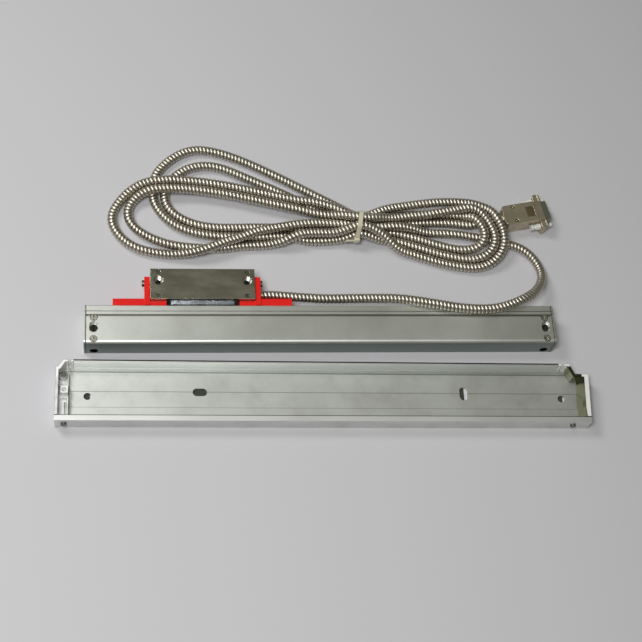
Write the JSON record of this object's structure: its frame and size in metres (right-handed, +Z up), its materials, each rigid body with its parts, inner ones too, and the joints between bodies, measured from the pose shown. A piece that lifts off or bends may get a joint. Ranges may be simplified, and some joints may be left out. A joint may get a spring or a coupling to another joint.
{
  "type": "linear glass scale",
  "caption": "Sealed linear glass scale with a sliding reading head, shipping clips, coiled armoured cable ending in a D-sub connector, and its loose cover channel.",
  "frame": {"origin": "middle of the housing's flat mounting face, on the surface that everything lies on", "axes": "+X along the scale towards its plain end, +Y from the housing towards the reading head's side (the slot), +Z up, away from the mounting face"},
  "size_m": [0.4388, 0.2689, 0.0283],
  "materials": {
    "anodised_aluminium": "satin silver anodised extrusion with fine drawing lines",
    "end_cap_alloy": "bead-blasted die-cast zinc alloy",
    "gasket_rubber": "matt black sheet rubber",
    "screw_steel": "bright zinc-plated screw steel",
    "scale_glass": "clear ground glass with a fine chrome grating",
    "cushion_rubber": "soft black rubber",
    "lip_rubber": "smooth black sealing rubber",
    "carriage_alloy": "machined aluminium",
    "roller_steel": "ground bearing steel",
    "optic_glass": "clear index glass",
    "lamp_plastic": "black moulded lamp holder",
    "circuit_board": "green solder mask",
    "spring_steel": "rolled spring steel",
    "lead_film": "amber polyimide film",
    "head_chrome": "polished nickel-chrome plating, slightly uneven",
    "clip_red": "semi-gloss red moulded plastic",
    "gland_plated": "nickel plate",
    "armour_steel": "strip-wound stainless conduit",
    "cable_hank": null,
    "tie_nylon": "natural nylon cable tie",
    "hood_metal": "nickel-plated die-cast hood",
    "shell_tin": "tin-plated pressed steel shell",
    "insulator_black": "black moulded insulator",
    "contact_gold": "gold-flashed contacts",
    "cover_aluminium": "satin silver anodised cover channel",
    "bracket_plated": "bright zinc-plated die casting"
  },
  "bodies": {
    "housing": {"housing_extrusion": "anodised_aluminium", "end_block_left": "end_cap_alloy", "end_block_right": "end_cap_alloy", "end_gasket_left": "gasket_rubber", "end_gasket_right": "gasket_rubber", "end_block_screws": "screw_steel", "glass_scale": "scale_glass", "glass_cushion": "cushion_rubber", "seal_lip_upper": "lip_rubber", "seal_lip_lower": "lip_rubber"},
    "head": {"carriage_frame": "carriage_alloy", "roller_pins": "screw_steel", "index_reticle": "optic_glass", "lamp_module": "lamp_plastic", "reader_board": "circuit_board", "coupling_plate": "spring_steel", "neck_blade": "head_chrome", "signal_lead": "lead_film", "head_case": "head_chrome", "head_gasket": "gasket_rubber", "head_lid": "head_chrome", "head_lid_screws": "screw_steel", "signal_board": "circuit_board", "signal_board_screws": "screw_steel", "clip_left": "clip_red", "clip_right": "clip_red", "clip_screws": "screw_steel", "cable_gland": "gland_plated", "cable": "armour_steel", "cable_coil": "cable_hank", "cable_tie": "tie_nylon", "connector_hood_lower": "hood_metal", "connector_hood_upper": "hood_metal", "connector_hood_screws": "screw_steel", "connector_ferrule": "gland_plated", "connector_shell": "shell_tin", "connector_insulator": "insulator_black", "connector_contacts": "contact_gold"},
    "face_roller_left": {"face_roller_left": "roller_steel"},
    "face_roller_right": {"face_roller_right": "roller_steel"},
    "face_roller_middle": {"face_roller_middle": "roller_steel"},
    "edge_roller_left": {"edge_roller_left": "roller_steel"},
    "edge_roller_right": {"edge_roller_right": "roller_steel"},
    "thumb_screw_far": {"thumb_screw_far": "hood_metal"},
    "thumb_screw_near": {"thumb_screw_near": "hood_metal"},
    "cover": {"cover_channel": "cover_aluminium", "cover_bracket_left": "bracket_plated", "cover_bracket_right": "bracket_plated", "cover_screws": "screw_steel"}
  },
  "joints": [
    {"name": "head_slide", "type": "slide", "parent": "housing", "child": "head", "axis": [1, 0, 0], "range_m": [-0.0255, 0.2245]},
    {"name": "face_roller_left_spin", "type": "hinge", "parent": "head", "child": "face_roller_left", "pos_m": [-0.1225, -0.009, 0.01365], "axis": [0, 1, 0], "range_deg": [-590, 5160]},
    {"name": "face_roller_right_spin", "type": "hinge", "parent": "head", "child": "face_roller_right", "pos_m": [-0.0765, -0.009, 0.01365], "axis": [0, 1, 0], "range_deg": [-590, 5160]},
    {"name": "face_roller_middle_spin", "type": "hinge", "parent": "head", "child": "face_roller_middle", "pos_m": [-0.084, -0.0032, 0.01365], "axis": [0, 1, 0], "range_deg": [-590, 5160]},
    {"name": "edge_roller_left_spin", "type": "hinge", "parent": "head", "child": "edge_roller_left", "pos_m": [-0.1175, 0.00265, 0.00925], "axis": [0, 0, 1], "range_deg": [-5160, 590]},
    {"name": "edge_roller_right_spin", "type": "hinge", "parent": "head", "child": "edge_roller_right", "pos_m": [-0.0815, 0.00265, 0.00925], "axis": [0, 0, 1], "range_deg": [-5160, 590]},
    {"name": "thumb_screw_far_turn", "type": "hinge", "parent": "head", "child": "thumb_screw_far", "pos_m": [0.18325, 0.12339, 0.0078], "axis": [0.9816, 0.1908, 0], "continuous": true},
    {"name": "thumb_screw_near_turn", "type": "hinge", "parent": "head", "child": "thumb_screw_near", "pos_m": [0.18802, 0.09885, 0.0078], "axis": [0.9816, 0.1908, 0], "continuous": true},
    {"name": "cover_lift", "type": "slide", "parent": "housing", "child": "cover", "axis": [0, 0, 1], "range_m": [0, 0.15]}
  ],
  "couplings": [
    {"joint": "face_roller_left_spin", "follows": "head_slide", "rad_per_m": 400},
    {"joint": "face_roller_right_spin", "follows": "head_slide", "rad_per_m": 400},
    {"joint": "face_roller_middle_spin", "follows": "head_slide", "rad_per_m": 400},
    {"joint": "edge_roller_left_spin", "follows": "head_slide", "rad_per_m": -400},
    {"joint": "edge_roller_right_spin", "follows": "head_slide", "rad_per_m": -400}
  ]
}
